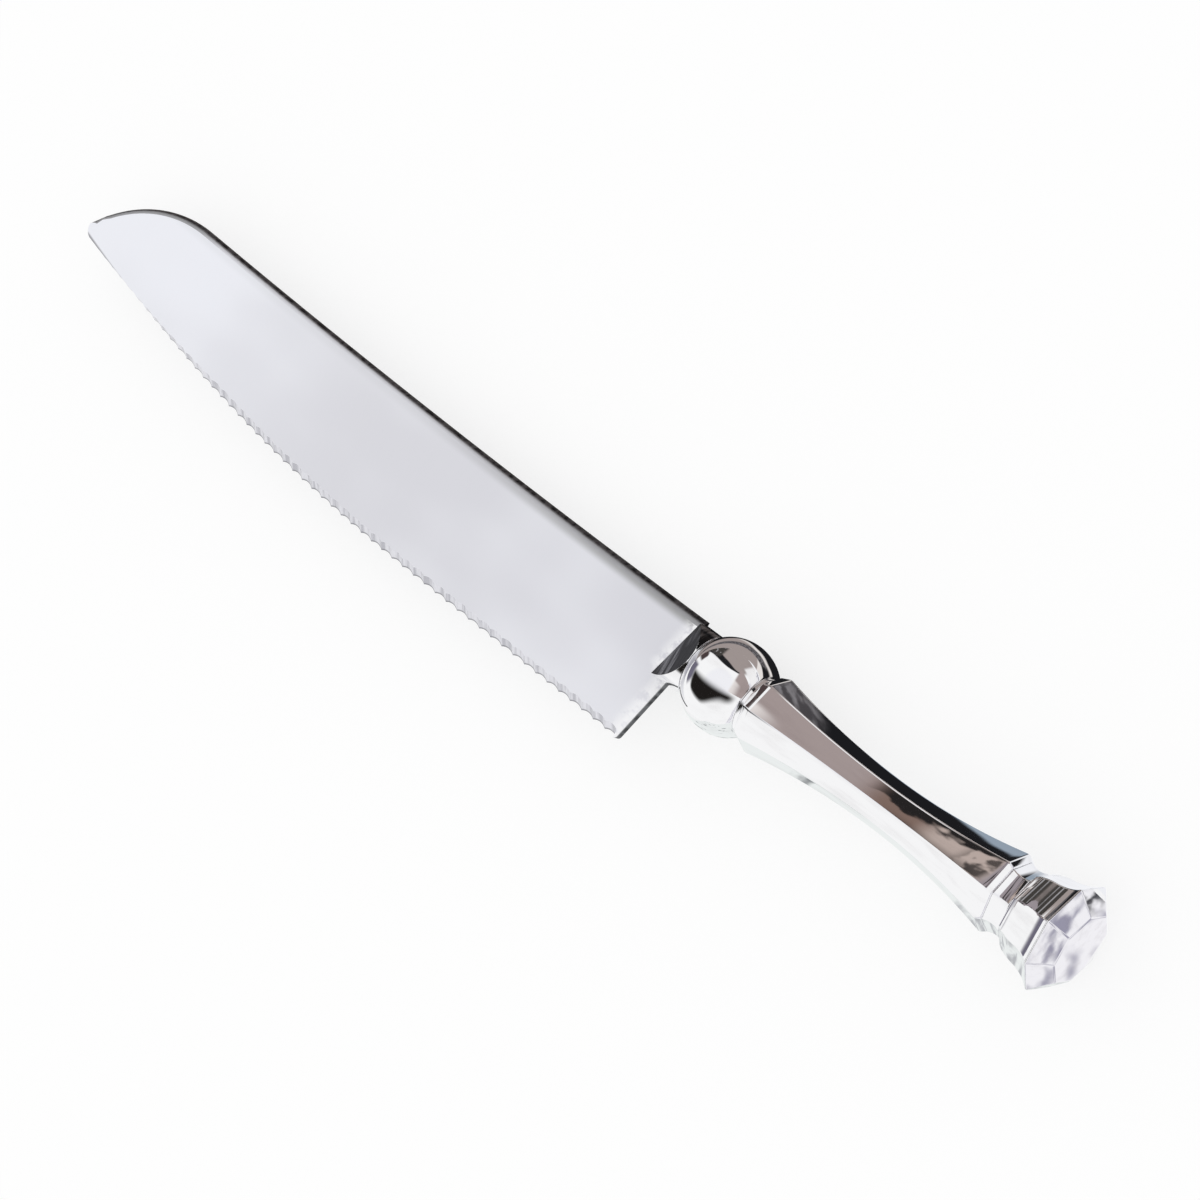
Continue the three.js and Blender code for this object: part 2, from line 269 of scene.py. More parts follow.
def onAxis(node):  # from millimetres behind a node's front end to the part's frame
    return Matrix.Translation((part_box(node)[0].x, axisY, axisZ)) @ Matrix.Scale(mm, 4)


# Blade, in millimetres from the middle of the heel

blade = {"length": 203.98, "thickness": 2, "edgeDrop": 24.3, "edgeTilt": 0.8, "straightEdge": 72,
         "heelSlant": 11, "heelRound": 1, "heelSteps": 6, "spineHeight": 8.5, "spineRise": 4.4, "tipDrop": 32,
         "noseRadius": 3, "noseDrop": 2.8, "toothPitch": 3.7, "toothDepth": 0.6, "toothSteps": 8,
         "grindWidth": 1.9, "grindScallop": 0.5, "grindRunOut": 60, "tangHalf": 6, "tangEnd": 4.9,
         "nibHalf": 2.6, "nibEnd": 13.2, "spineRound": 1.9, "tipRound": 1.5, "spineSteps": 9,
         "wallTilt": 0.5, "rimLeast": 60, "heelSlack": 0.1, "edgeRound": 0.12, "segments": 2, "keep": 35,
         "bolsterLength": 5.2, "arcSteps": 24}


def unit(angle):
    return Vector((math.cos(angle), math.sin(angle)))


def drawOutline():
    size = blade
    line = SimpleNamespace()
    line.tilt = math.radians(size["edgeTilt"])
    line.slant = math.radians(size["heelSlant"])
    line.alongEdge = unit(-line.tilt)
    line.edgeOut = unit(-line.tilt - math.pi / 2)
    line.nose = Vector((size["noseRadius"] - size["length"], -size["noseDrop"]))
    corner = Vector(((size["tangHalf"] - size["edgeDrop"]) * math.tan(line.slant), -size["edgeDrop"]))
    line.edgeEnd = corner - line.alongEdge * size["straightEdge"]
    line.spineRun = size["length"] - size["tipDrop"]
    line.spineTurn = 2 * math.atan(size["spineRise"] / line.spineRun)
    line.spineRadius = (line.spineRun ** 2 + size["spineRise"] ** 2) / (2 * size["spineRise"])
    line.spineCentre = Vector((0, size["spineHeight"] + line.spineRadius))
    line.spineUp = unit(math.pi / 2 - line.spineTurn)

    def centreToNose(start, outward):  # of an arc that meets the nose's own
        depth = -(line.nose - start).dot(outward)
        reach = (line.nose - start).length_squared - size["noseRadius"] ** 2
        return start - outward * (reach / (2 * (depth - size["noseRadius"])))

    line.tipCentre = centreToNose(line.spineCentre - line.spineUp * line.spineRadius, line.spineUp)
    line.bellyCentre = centreToNose(line.edgeEnd, line.edgeOut)
    line.bellyRadius = (line.edgeEnd - line.bellyCentre).length
    return line


outline = drawOutline()
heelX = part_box("bolster")[1].x - blade["bolsterLength"] * mm
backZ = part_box("blade")[0].z
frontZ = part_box("blade")[1].z


def onFront(point):  # from the blade's millimetres to its front face
    return heelX + point.x * mm, axisY + point.y * mm, frontZ


# places in the three finishes of the blade are in metres
satinLook = {"dull": (0.722, 0.722, 0.757, 1), "clear": (0.815, 0.82, 0.852, 1),
             "grain": (1500, 30, 30), "cloud": (16, 30, 30), "cloudFade": (0.35, 0.65),
             "rough": 0.25, "grainRough": 0.12, "rise": 0.000012,
             "tip": (0.875, 0.885, 0.93, 1), "tipX": (-0.05, -0.13), "tipShare": 0.6,
             "shade": (0.3, 0.3, 0.29, 1), "shadeDrop": (0.0039, 0.0018), "shadeX": (-0.06, 0.035),
             "shadeLeast": 0.1, "shadeMore": 0.7,
             "honed": (0.36, 0.36, 0.38, 1), "honedRim": (-0.0008, -0.00024), "honedX": (-0.118, -0.132),
             "bright": (0.95, 0.95, 0.95, 1), "brightX": (-0.0065, -0.0024), "brightSlant": 0.22,
             "brightStep": 0.0035, "stepY": (-0.005, -0.009),
             "specks": (600, 600, 600), "speckFade": (0.3, 0.55)}


def satinSteel():
    look = satinLook
    material, sheet = newFinish("satinBladeSteel")
    place = onPiece(sheet)
    x, y = place.split()[:2]
    grain = place.noise(look["grain"], detail=3)
    cloud = place.noise(look["cloud"]).ease(*look["cloudFade"])
    base = cloud.tint(look["dull"], look["clear"])
    tip = x.ease(*look["tipX"]) * (look["tipShare"] + (1 - look["tipShare"]) * cloud)
    base = tip.tint(base, look["tip"])

    # darker under the spine, mostly near the heel
    underSpine = place.away(onFront(outline.spineCentre)) - outline.spineRadius * mm
    shaded = underSpine.ease(*look["shadeDrop"])
    shaded = shaded * (look["shadeLeast"] + look["shadeMore"] * x.ease(*look["shadeX"]))
    base = shaded.tint(base, look["shade"])

    # a honed line round the tip, where the teeth have run out
    pastBelly = place.away(onFront(outline.bellyCentre)) - outline.bellyRadius * mm
    honed = pastBelly.ease(*look["honedRim"]) * x.ease(*look["honedX"])
    base = honed.tint(base, look["honed"])

    # painted highlight along the heel and the cheek, broken by specks
    up = y - axisY
    step = look["brightStep"] * up.ease(*look["stepY"])
    toHeel = (x - heelX) - look["brightSlant"] * up - step
    specks = place.noise(look["specks"]).ease(*look["speckFade"])
    base = (toHeel.ease(*look["brightX"]) * specks).tint(base, look["bright"])
    shade(sheet, base, look["rough"] + look["grainRough"] * grain, grain, look["rise"])
    return material


grindLook = {"dull": (0.5, 0.5, 0.54, 1), "clear": (0.78, 0.78, 0.82, 1), "burr": (0.2, 0.2, 0.22, 1),
             "burrTop": 0.0005, "grain": (950, 40, 60), "streakFade": (0.35, 0.6),
             "rough": 0.2, "grainRough": 0.3, "rise": 0.00004}


def groundSteel():
    look = grindLook
    material, sheet = newFinish("groundEdgeSteel")
    place = onPiece(sheet)
    grain = place.noise(look["grain"])
    streak = grain.ease(*look["streakFade"])
    base = streak.tint(look["dull"], look["clear"])
    burr = place.split()[2].ease(backZ, backZ + look["burrTop"])
    base = burr.tint(look["burr"], base)
    shade(sheet, base, look["rough"] + look["grainRough"] * streak, grain, look["rise"])
    return material


darkEdgeLook = {"dull": (0.03, 0.03, 0.034, 1), "clear": (0.16, 0.16, 0.17, 1), "grain": (700, 700, 90),
               "fade": (0.35, 0.65), "rough": 0.32, "grainRough": 0.2, "rise": 0.00003,
               "rolled": (0.75, 0.75, 0.78, 1), "rolledEnds": (0.42, 0.42, 0.43, 1), "rollDepth": 0.00065,
               "rollRough": 0.15}


# painted dark reflection: the blade's cut walls (spine, heel, tang) are coloured near black, with grain
def paintedDarkEdges():
    look = darkEdgeLook
    material, sheet = newFinish("paintedDarkEdgeSteel")
    place = onPiece(sheet)
    x, y, z = place.split()
    grain = place.noise(look["grain"], detail=3)
    base = grain.ease(*look["fade"]).tint(look["dull"], look["clear"])
    # the rolled strip at the front is paler, with painted shade towards the heel and the tip that continues
    # the painted shade under the spine
    rolled = z.ease(frontZ - look["rollDepth"], frontZ)
    ends = x.ease(*satinLook["shadeX"]) + x.ease(*satinLook["honedX"])  # darker towards the heel and the tip
    base = rolled.tint(base, ends.tint(look["rolled"], look["rolledEnds"]))
    rough = look["rough"] + look["grainRough"] * grain + look["rollRough"] * rolled
    shade(sheet, base, rough, grain, look["rise"])
    return material


finishes.update({"satin": satinSteel(), "ground": groundSteel(), "darkEdges": paintedDarkEdges()})
print("blade finishes made")


def makeBlade():
    size = blade
    line = outline
    nose, tipCentre, bellyCentre = line.nose, line.tipCentre, line.bellyCentre
    alongEdge, edgeOut, edgeEnd = line.alongEdge, line.edgeOut, line.edgeEnd
    high = size["thickness"] / 2

    def turnBetween(first, second):
        return (math.atan2(second.y, second.x) - math.atan2(first.y, first.x)) % (2 * math.pi)

    bm = bmesh.new()
    root = bm.verts.new((0, size["spineHeight"], -high))
    point = arcTo(bm, root, line.spineCentre, -line.spineTurn, size["arcSteps"])
    point = arcTo(bm, point, tipCentre, turnBetween(line.spineUp, nose - tipCentre), size["arcSteps"])
    point = arcTo(bm, point, nose, turnBetween(nose - tipCentre, nose - bellyCentre), size["arcSteps"])

    # the toothed run: the belly, then the straight edge
    before = set(bm.verts)
    start = point
    bellyTurn = turnBetween(nose - bellyCentre, edgeOut)
    bellyRun = bellyTurn * line.bellyRadius
    bellySteps = round(bellyRun / size["toothPitch"]) * size["toothSteps"]
    point = arcTo(bm, point, bellyCentre, bellyTurn, bellySteps)
    cornerTurn = math.pi / 2 - line.slant + line.tilt
    straightRun = size["straightEdge"] - size["heelRound"] * math.tan(cornerTurn / 2)
    straightSteps = round(straightRun / size["toothPitch"]) * size["toothSteps"]
    for step in range(1, straightSteps + 1):
        place = edgeEnd + alongEdge * straightRun * step / straightSteps
        point = lineTo(bm, point, place.x, place.y)
    runVerts = [start] + [vert for vert in bm.verts if vert not in before]

    # the heel, the tang and its nib
    point = arcTo(bm, point, point.co.xy - edgeOut * size["heelRound"], cornerTurn, size["heelSteps"])
    for x, y in ((0, -size["tangHalf"]), (size["tangEnd"], -size["tangHalf"]),
                 (size["tangEnd"], -size["nibHalf"]), (size["nibEnd"], -size["nibHalf"]),
                 (size["nibEnd"], size["nibHalf"]), (size["tangEnd"], size["nibHalf"]),
                 (size["tangEnd"], size["tangHalf"]), (0, size["tangHalf"])):
        point = lineTo(bm, point, x, y)
    bm.edges.new((point, root))
    sheet = bmesh.ops.contextual_create(bm, geom=bm.edges[:])["faces"]
    raised = bmesh.ops.extrude_face_region(bm, geom=sheet)["geom"]
    front = [part for part in raised if isinstance(part, bmesh.types.BMVert)]
    bmesh.ops.translate(bm, vec=(0, 0, size["thickness"]), verts=front)

    # teeth hollowed into the back outline, and the ground line drawn in on the front
    fronts = set(front)
    toothed = set()
    for index, vert in enumerate(runVerts):
        inward = (bellyCentre - vert.co.xy).normalized() if index <= bellySteps else -edgeOut
        phase = index % size["toothSteps"] / size["toothSteps"]
        hollow = 1 - (2 * phase - 1) ** 2
        fade = min(index * bellyRun / bellySteps / size["grindRunOut"], 1)
        above = [edge.other_vert(vert) for edge in vert.link_edges if edge.other_vert(vert) in fronts][0]
        vert.co.xy += inward * fade * size["toothDepth"] * hollow
        above.co.xy += inward * fade * (size["grindWidth"] + size["grindScallop"] * hollow)
        toothed.update((vert, above))
    bmesh.ops.recalc_face_normals(bm, faces=bm.faces[:])
    band = [face for face in bm.faces if len(face.verts) == 4 and all(vert in toothed for vert in face.verts)]
    for face in band:
        face.material_index = 1
    # the walls take the painted dark reflection
    walls = [face for face in bm.faces if face not in band and abs(face.normal.z) < size["wallTilt"]]
    for face in walls:
        face.material_index = 2

    def atTeeth(edge):
        return any(vert in toothed for vert in edge.verts)

    # the spine rounded over to the front, widest at the heel and gone at the nose
    noseReach = (nose - tipCentre).normalized().y * size["noseRadius"]
    posts = [edge for edge in bm.edges
             if abs(edge.verts[0].co.z - edge.verts[1].co.z) > high and not atTeeth(edge)
             and edge.verts[0].co.x < size["heelSlack"] and edge.verts[0].co.y > nose.y]
    ends = {tuple(vert.co.xy) for edge in posts for vert in edge.verts}
    bmesh.ops.subdivide_edges(bm, edges=posts, cuts=size["spineSteps"], use_grid_fill=True)
    for vert in [vert for vert in bm.verts if tuple(vert.co.xy) in ends]:
        share = (vert.co.z + high) / size["thickness"]
        run = min(max(-vert.co.x / line.spineRun, 0), 1)
        width = size["spineRound"] + (size["tipRound"] - size["spineRound"]) * run
        if vert.co.x < nose.x:
            inward = (nose - vert.co.xy).normalized()
            width *= min((vert.co.y - nose.y) / noseReach, 1)
        elif vert.co.x < -line.spineRun:
            inward = (tipCentre - vert.co.xy).normalized()
        else:
            inward = (vert.co.xy - line.spineCentre).normalized()
        vert.co.xy += inward * width * (1 - math.sqrt(1 - share * share))

    # the heel's rims eased
    rims = [edge for edge in bm.edges
            if edge.calc_face_angle(0) > math.radians(size["rimLeast"]) and not atTeeth(edge)
            and edge.verts[0].co.z == edge.verts[1].co.z
            and max(vert.co.x for vert in edge.verts) < size["heelSlack"]
            and max(vert.co.y for vert in edge.verts) < nose.y]
    roundEdges(bm, rims, size)
    place = Matrix.Translation((heelX, axisY, axisZ)) @ Matrix.Scale(mm, 4)
    putPiece(bm, "serratedBlade", "blade", ("satin", "ground", "darkEdges"), place, size["keep"])


makeBlade()


# Bolster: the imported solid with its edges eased

bolster = {"edgeRound": 0.18, "segments": 2, "least": 28, "merge": 0.001, "flat": 1, "topTilt": 0.5,
           "cheekTilt": 0.4, "sideTilt": 0.5}


def makeBolster():
    size = bolster
    bm = bmesh.new()
    bm.from_mesh(nodes["bolster"].data)
    bmesh.ops.scale(bm, vec=(1 / mm, 1 / mm, 1 / mm), verts=bm.verts[:])
    bmesh.ops.remove_doubles(bm, verts=bm.verts[:], dist=size["merge"])
    bmesh.ops.dissolve_limit(bm, angle_limit=math.radians(size["flat"]), verts=bm.verts[:], edges=bm.edges[:])
    roundEdges(bm, sharpEdges(bm, size), size)
    # the top and cheek faces take the painted dark reflection
    for face in bm.faces:
        onTop = face.normal.y > size["topTilt"]
        onCheek = face.normal.x < -size["cheekTilt"] and abs(face.normal.z) > size["sideTilt"]
        if onTop or onCheek:
            face.material_index = 1
    putPiece(bm, "slottedBolster", "bolster", ("mirror", "cheek"), Matrix.Scale(mm, 4))


makeBolster()


# Knop: a turned ball

knop = {"length": 16, "radius": 11, "bore": 3.3, "sides": 72, "arcSteps": 36, "edgeRound": 0.2, "segments": 2,
        "least": 30, "edgesFrom": 4.3}


def makeKnop():
    size = knop
    half = size["length"] / 2
    end = math.sqrt(size["radius"] ** 2 - half ** 2)
    bm = bmesh.new()
    first = bm.verts.new((0, end, 0))
    point = arcTo(bm, first, (half, 0), -2 * math.asin(half / size["radius"]), size["arcSteps"])
    point = lineTo(bm, point, size["length"], size["bore"])
    point = lineTo(bm, point, 0, size["bore"])
    bm.edges.new((point, first))
    turnSolid(bm, size["sides"])
    roundEdges(bm, outerEdges(bm, size), size)
    putPiece(bm, "ballKnop", "knop", ("mirror",), onAxis("knop"))


makeKnop()


# Front collar: a thin ring with a rounded rim

frontCollar = {"length": 1.2, "radius": 7.6, "bore": 3.3, "sides": 64, "edgeRound": 0.35, "segments": 3,
               "least": 30, "edgesFrom": 4.3}


def makeFrontCollar():
    size = frontCollar
    bm = bmesh.new()
    first = bm.verts.new((0, size["radius"], 0))
    point = lineTo(bm, first, size["length"], size["radius"])
    point = lineTo(bm, point, size["length"], size["bore"])
    point = lineTo(bm, point, 0, size["bore"])
    bm.edges.new((point, first))
    turnSolid(bm, size["sides"])
    roundEdges(bm, outerEdges(bm, size), size)
    putPiece(bm, "thinFrontCollar", "front_collar", ("mirror",), onAxis("front_collar"))


makeFrontCollar()


# Grip: a waisted eight-sided sleeve

grip = {"length": 71.8, "frontRadius": 9.4, "frontEnd": 8.4, "frontChamfer": 2.4, "waistRadius": 6,
        "waistAt": 37.1, "rearRadius": 9.7, "rearEnd": 8.7, "rearChamfer": 1.4, "frontSeat": 6.35,
        "rearSeat": 6.65, "seatDepth": 6, "waistBore": 4.6, "shoulder": 0.6, "sides": 8, "arcSteps": 24,
        "edgeRound": 0.35, "segments": 3, "least": 12, "edgesFrom": 5.7}


def makeGrip():
    size = grip
    rear = size["length"]
    rearStep = rear - size["seatDepth"]
    bm = bmesh.new()
    first = bm.verts.new((0, size["frontEnd"], 0))
    point = lineTo(bm, first, size["frontChamfer"], size["frontRadius"])
    for end, radius in ((size["frontChamfer"], size["frontRadius"]),
                        (rear - size["rearChamfer"], size["rearRadius"])):
        span = size["waistAt"] - end
        rise = radius - size["waistRadius"]
        sweep = (span * span + rise * rise) / (2 * rise)
        turn = 2 * math.atan(rise / abs(span))
        point = arcTo(bm, point, (size["waistAt"], size["waistRadius"] + sweep), turn, size["arcSteps"])
    for x, y in ((rear, size["rearEnd"]), (rear, size["rearSeat"]), (rearStep, size["rearSeat"]),
                 (rearStep, size["rearSeat"] - size["shoulder"]), (size["waistAt"], size["waistBore"]),
                 (size["seatDepth"], size["frontSeat"] - size["shoulder"]),
                 (size["seatDepth"], size["frontSeat"]), (0, size["frontSeat"])):
        point = lineTo(bm, point, x, y)
    bm.edges.new((point, first))
    turnSolid(bm, size["sides"])

    def inSeat(vert):
        atEnd = vert.co.x < size["seatDepth"] + near or vert.co.x > rearStep - near
        return atEnd and fromAxis(vert) < size["rearSeat"] + near

    outer = [edge for edge in outerEdges(bm, size)
             if max(fromAxis(vert) for vert in edge.verts) > size["waistRadius"] - near
             and not all(inSeat(vert) for vert in edge.verts)]
    roundEdges(bm, outer, size)
    putPiece(bm, "waistedGrip", "grip", ("mirror",), onAxis("grip"))


makeGrip()


# Rear collar: a narrow eight-sided reel

rearCollar = {"length": 4.4, "radius": 8.7, "waist": 0.6, "bore": 3.4, "sides": 8, "arcSteps": 8,
              "edgeRound": 0.25, "segments": 3, "least": 22, "edgesFrom": 4.4}


def makeRearCollar():
    size = rearCollar
    bm = bmesh.new()
    first = bm.verts.new((0, size["radius"], 0))
    point = bowTo(bm, first, size["length"], size["radius"], -size["waist"], size["arcSteps"])
    point = lineTo(bm, point, size["length"], size["bore"])
    point = lineTo(bm, point, 0, size["bore"])
    bm.edges.new((point, first))
    turnSolid(bm, size["sides"])
    roundEdges(bm, outerEdges(bm, size), size)
    putPiece(bm, "reelCollar", "rear_collar", ("mirror",), onAxis("rear_collar"))


makeRearCollar()


# Pommel: an eight-sided bell

pommel = {"length": 10.8, "neck": 9, "shoulderAt": 5.2, "shoulder": 10.75, "shoulderBow": 0.3,
          "flareBow": -0.45, "rim": 13.4, "cup": 9.9, "web": 3, "cupFloor": 6.6, "bore": 3.4, "sides": 8,
          "turn": -12, "arcSteps": 8, "edgeRound": 0.35, "segments": 3, "least": 20, "edgesFrom": 8.9,
          "cupWall": 0.1}


def makePommel():
    size = pommel
    bm = bmesh.new()
    first = bm.verts.new((0, size["neck"], 0))
    point = bowTo(bm, first, size["shoulderAt"], size["shoulder"], size["shoulderBow"], size["arcSteps"])
    point = bowTo(bm, point, size["length"], size["rim"], size["flareBow"], size["arcSteps"])
    for x, y in ((size["length"], size["cup"]), (size["web"], size["cupFloor"]),
                 (size["web"], size["bore"]), (0, size["bore"])):
        point = lineTo(bm, point, x, y)
    bm.edges.new((point, first))
    turnSolid(bm, size["sides"], size["turn"])
    rimFrom = size["cup"] + size["cupWall"]
    outer = [edge for edge in outerEdges(bm, size)
             if any(fromAxis(vert) > rimFrom or vert.co.x < near for vert in edge.verts)]
    roundEdges(bm, outer, size)
    putPiece(bm, "flaredPommel", "pommel", ("mirror",), onAxis("pommel"))


makePommel()


# End cap: the bevelled face that closes the bell

endCap = {"length": 4.19, "rim": 13.4, "face": 8.6, "wall": 2, "recess": 6.9, "spigot": 2.6,
          "spigotRadius": 8.2, "spigotRoot": 9.4, "sides": 8, "edgeRound": 0.35, "segments": 3, "least": 20,
          "edgesFrom": 8.5}


def makeEndCap():
    size = endCap
    start = size["spigot"]
    rear = start + size["length"]
    bm = bmesh.new()
    point = bm.verts.new((rear, 0, 0))
    for x, y in ((rear, size["face"]), (start, size["rim"]), (start, size["spigotRoot"]),
                 (0, size["spigotRadius"]), (0, size["recess"]), (rear - size["wall"], size["recess"]),
                 (rear - size["wall"], 0)):
        point = lineTo(bm, point, x, y)
    turnSolid(bm, size["sides"], pommel["turn"])
    outer = [edge for edge in outerEdges(bm, size)
             if min(vert.co.x for vert in edge.verts) > start - near]
    roundEdges(bm, outer, size)
    putPiece(bm, "bevelledEndCap", "end_cap", ("mirror",), onAxis("end_cap"))


makeEndCap()


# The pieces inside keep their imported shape

inside = {"tang_rod": "turned", "flat_washer": "turned", "spring_washer": "turned", "pommel_nut": "turned",
          "front_bush": "bush", "rear_bush": "bush"}

for name, finish in inside.items():
    nodes[name].data.materials.clear()
    nodes[name].data.materials.append(finishes[finish])
print("inner pieces finished:", len(inside))


# Floor

floor = {"half": 30, "white": (0.97, 0.97, 0.97, 1), "plain": (1, 1, 1, 1), "lift": 0.7}


def linkPlane(bm, name, material):
    mesh = bpy.data.meshes.new(name)
    bm.to_mesh(mesh)
    bm.free()
    mesh.materials.append(material)
    plane = bpy.data.objects.new(name, mesh)
    bpy.context.scene.collection.objects.link(plane)
    return plane


def makeFloor():
    size = floor
    material, sheet = newFinish("paleFloor")
    path = sheet.add("ShaderNodeLightPath", {}, {}, "Is Camera Ray")
    rays = path.socket.node.outputs
    seen = path + Wire(sheet.tree, rays["Is Glossy Ray"]) + Wire(sheet.tree, rays["Is Transmission Ray"])
    matt = sheet.add("ShaderNodeBsdfDiffuse", {}, {"Color": size["white"]})
    plain = sheet.add("ShaderNodeEmission", {}, {"Color": size["plain"], "Strength": 1.0})
    mixed = sheet.add("ShaderNodeMixShader", {}, {0: size["lift"] * seen, 1: matt, 2: plain})
    sheet.add("ShaderNodeOutputMaterial", {}, {"Surface": mixed})
    bm = bmesh.new()
    bmesh.ops.create_grid(bm, x_segments=1, y_segments=1, size=size["half"])
    plane = linkPlane(bm, "studioFloor", material)


makeFloor()
print("floor made")


# Cards round the handle, seen in the bright pieces only; all places in metres

def hangCard(size, name, paint):
    material, sheet = newFinish(name)
    place = onPiece(sheet)
    colour, cover = paint(size, place, *place.split())
    glow = sheet.add("ShaderNodeEmission", {}, {"Color": colour, "Strength": 1.0})
    clear = sheet.add("ShaderNodeBsdfTransparent", {}, {})
    mixed = sheet.add("ShaderNodeMixShader", {}, {0: cover, 1: clear, 2: glow})
    sheet.add("ShaderNodeOutputMaterial", {}, {"Surface": mixed})
    low = Vector((*size["low"], size["height"]))
    high = Vector((*size["high"], size["height"]))
    bm = bmesh.new()
    bmesh.ops.create_grid(bm, x_segments=1, y_segments=1, size=0.5)
    bmesh.ops.scale(bm, vec=(high.x - low.x, high.y - low.y, 1), verts=bm.verts[:])
    bmesh.ops.translate(bm, vec=(low + high) / 2, verts=bm.verts[:])
    if "lean" in size:
        axis, angle = size["lean"]
        lean = Matrix.Rotation(math.radians(angle), 3, axis)
        bmesh.ops.rotate(bm, verts=bm.verts[:], cent=low, matrix=lean)
    card = linkPlane(bm, name, material)
    card.visible_camera = False
    card.visible_diffuse = False
    card.visible_shadow = False
    card.visible_transmission = False


darkCard = {"low": (-20, 0.006), "high": (0.16, 20), "height": 0.0004, "black": (0.012, 0.012, 0.014, 1),
            "brown": (0.36, 0.31, 0.295, 1), "beige": (0.82, 0.78, 0.75, 1), "beigeSlope": 0.6,
            "beigeFrom": (0.026, 0.034), "besideSlope": 0.9, "besideX": (0.0945, 0.1025),
            "besideY": (0.056, 0.05), "smoke": (0.07, 0.065, 0.07, 1), "ash": (0.22, 0.21, 0.22, 1),
            "mottle": (330, 240, 1), "mottleFade": (0.42, 0.66), "patchX": (0.076, 0.068),
            "patchY": (0.033, 0.037, 0.052, 0.058), "stripY": (0.023, 0.02), "bulge": 0.0075,
            "bulgeX": (0.044, 0.054, 0.064, 0.074), "blue": (0.3, 0.36, 0.43, 1), "blueSlope": 6,
            "blueFrom": (-0.0575, -0.048), "blueX": (0.085, 0.095), "white": (0.92, 0.93, 0.96, 1),
            "whiteX": (0.128, 0.134), "cornerX": (0.142, 0.145, 0.154, 0.157),
            "cornerY": (0.036, 0.039, 0.054, 0.058)}


def paintDark(size, place, x, y, z):
    colour = (x - size["beigeSlope"] * y).ease(*size["beigeFrom"]).tint(size["brown"], size["beige"])
    beside = (x + size["besideSlope"] * y).ease(*size["besideX"]) * y.ease(*size["besideY"])
    colour = beside.tint(colour, size["black"])  # beside the grip
    mottle = place.noise(size["mottle"]).ease(*size["mottleFade"]).tint(size["smoke"], size["ash"])
    patch = x.ease(*size["patchX"]) * y.band(*size["patchY"])
    colour = patch.tint(colour, mottle)
    strip = y - size["bulge"] * x.band(*size["bulgeX"])  # under the spine, wider beside the ball
    colour = strip.ease(*size["stripY"]).tint(colour, size["black"])
    blue = (x - size["blueSlope"] * y).ease(*size["blueFrom"]) * x.ease(*size["blueX"])
    colour = blue.tint(colour, size["blue"])
    colour = x.ease(*size["whiteX"]).tint(colour, size["white"])
    corner = x.band(*size["cornerX"]) * y.band(*size["cornerY"])
    return corner.tint(colour, size["black"]), 1.0


hangCard(darkCard, "darkCard", paintDark)

ballCard = {"low": (0.034, -0.016), "high": (0.086, 0.01), "height": 0.0285,
            "black": (0.014, 0.012, 0.011, 1), "coverX": (0.035, 0.044, 0.068, 0.077), "rise": 0.0085,
            "riseX": (0.054, 0.066), "lowY": (-0.0115, -0.0055), "highY": (0.0065, 0.003)}


def paintBall(size, place, x, y, z):
    lower = y - size["rise"] * x.ease(*size["riseX"])  # kept clear of the grip's upper facets
    return size["black"], x.band(*size["coverX"]) * lower.ease(*size["lowY"]) * y.ease(*size["highY"])


hangCard(ballCard, "ballCard", paintBall)

gripCard = {"low": (0.066, 0.006), "high": (0.14, 0.026), "height": 0.03, "coverX": (0.0665, 0.0685),
            "brown": (0.38, 0.315, 0.305, 1), "blush": (0.8, 0.75, 0.73, 1), "blushX": (0.0765, 0.068),
            "blushY": (0.0145, 0.0125), "rust": (0.22, 0.15, 0.125, 1), "rustX": (0.092, 0.1),
            "tan": (0.5, 0.41, 0.37, 1), "tanX": (0.106, 0.112), "lilac": (0.33, 0.29, 0.31, 1),
            "lilacX": (0.124, 0.127), "dark": (0.02, 0.018, 0.018, 1), "spots": (150, 260, 1),
            "spotSlope": 0.13, "spotDepth": 0.008, "spotY": (0.0072, 0.0082),
            "spotX": (0.094, 0.1, 0.122, 0.128), "lowShare": 0.5, "lowY": (0.0155, 0.0125),
            "lowX": (0.098, 0.106, 0.12, 0.126), "blots": (220, 260, 1), "blotShare": 0.85,
            "blotFade": (0.43, 0.54), "blotX": (0.116, 0.12, 0.124, 0.126), "stripes": (420, 60, 1),
            "stripeFade": (0.52, 0.6), "stripeX": (0.125, 0.128)}


def paintGrip(size, place, x, y, z):
    colour = (x.ease(*size["blushX"]) * y.ease(*size["blushY"])).tint(size["brown"], size["blush"])
    for tone in ("rust", "tan", "lilac"):
        colour = x.ease(*size[tone + "X"]).tint(colour, size[tone])
    ragged = y - size["spotSlope"] * x + size["spotDepth"] * place.noise(size["spots"])
    spots = ragged.ease(*size["spotY"]) * x.band(*size["spotX"])  # along the upper edge
    low = size["lowShare"] * y.ease(*size["lowY"]) * x.band(*size["lowX"])
    blots = size["blotShare"] * place.noise(size["blots"]).ease(*size["blotFade"]) * x.band(*size["blotX"])
    stripes = place.noise(size["stripes"]).ease(*size["stripeFade"]) * x.ease(*size["stripeX"])
    for mask in (spots, low, blots, stripes):
        colour = mask.tint(colour, size["dark"])
    return colour, x.ease(*size["coverX"])


hangCard(gripCard, "gripCard", paintGrip)

spineCard = {"low": (0.068, 0.032), "high": (0.112, 0.046), "height": 0.017, "lean": ("X", 90),
             "white": (0.93, 0.92, 0.92, 1), "coverX": (0.068, 0.072, 0.1, 0.112),
             "coverZ": (0.017, 0.02, 0.028, 0.031)}


def paintSpine(size, place, x, y, z):
    return size["white"], x.band(*size["coverX"]) * z.band(*size["coverZ"])


hangCard(spineCard, "spineCard", paintSpine)

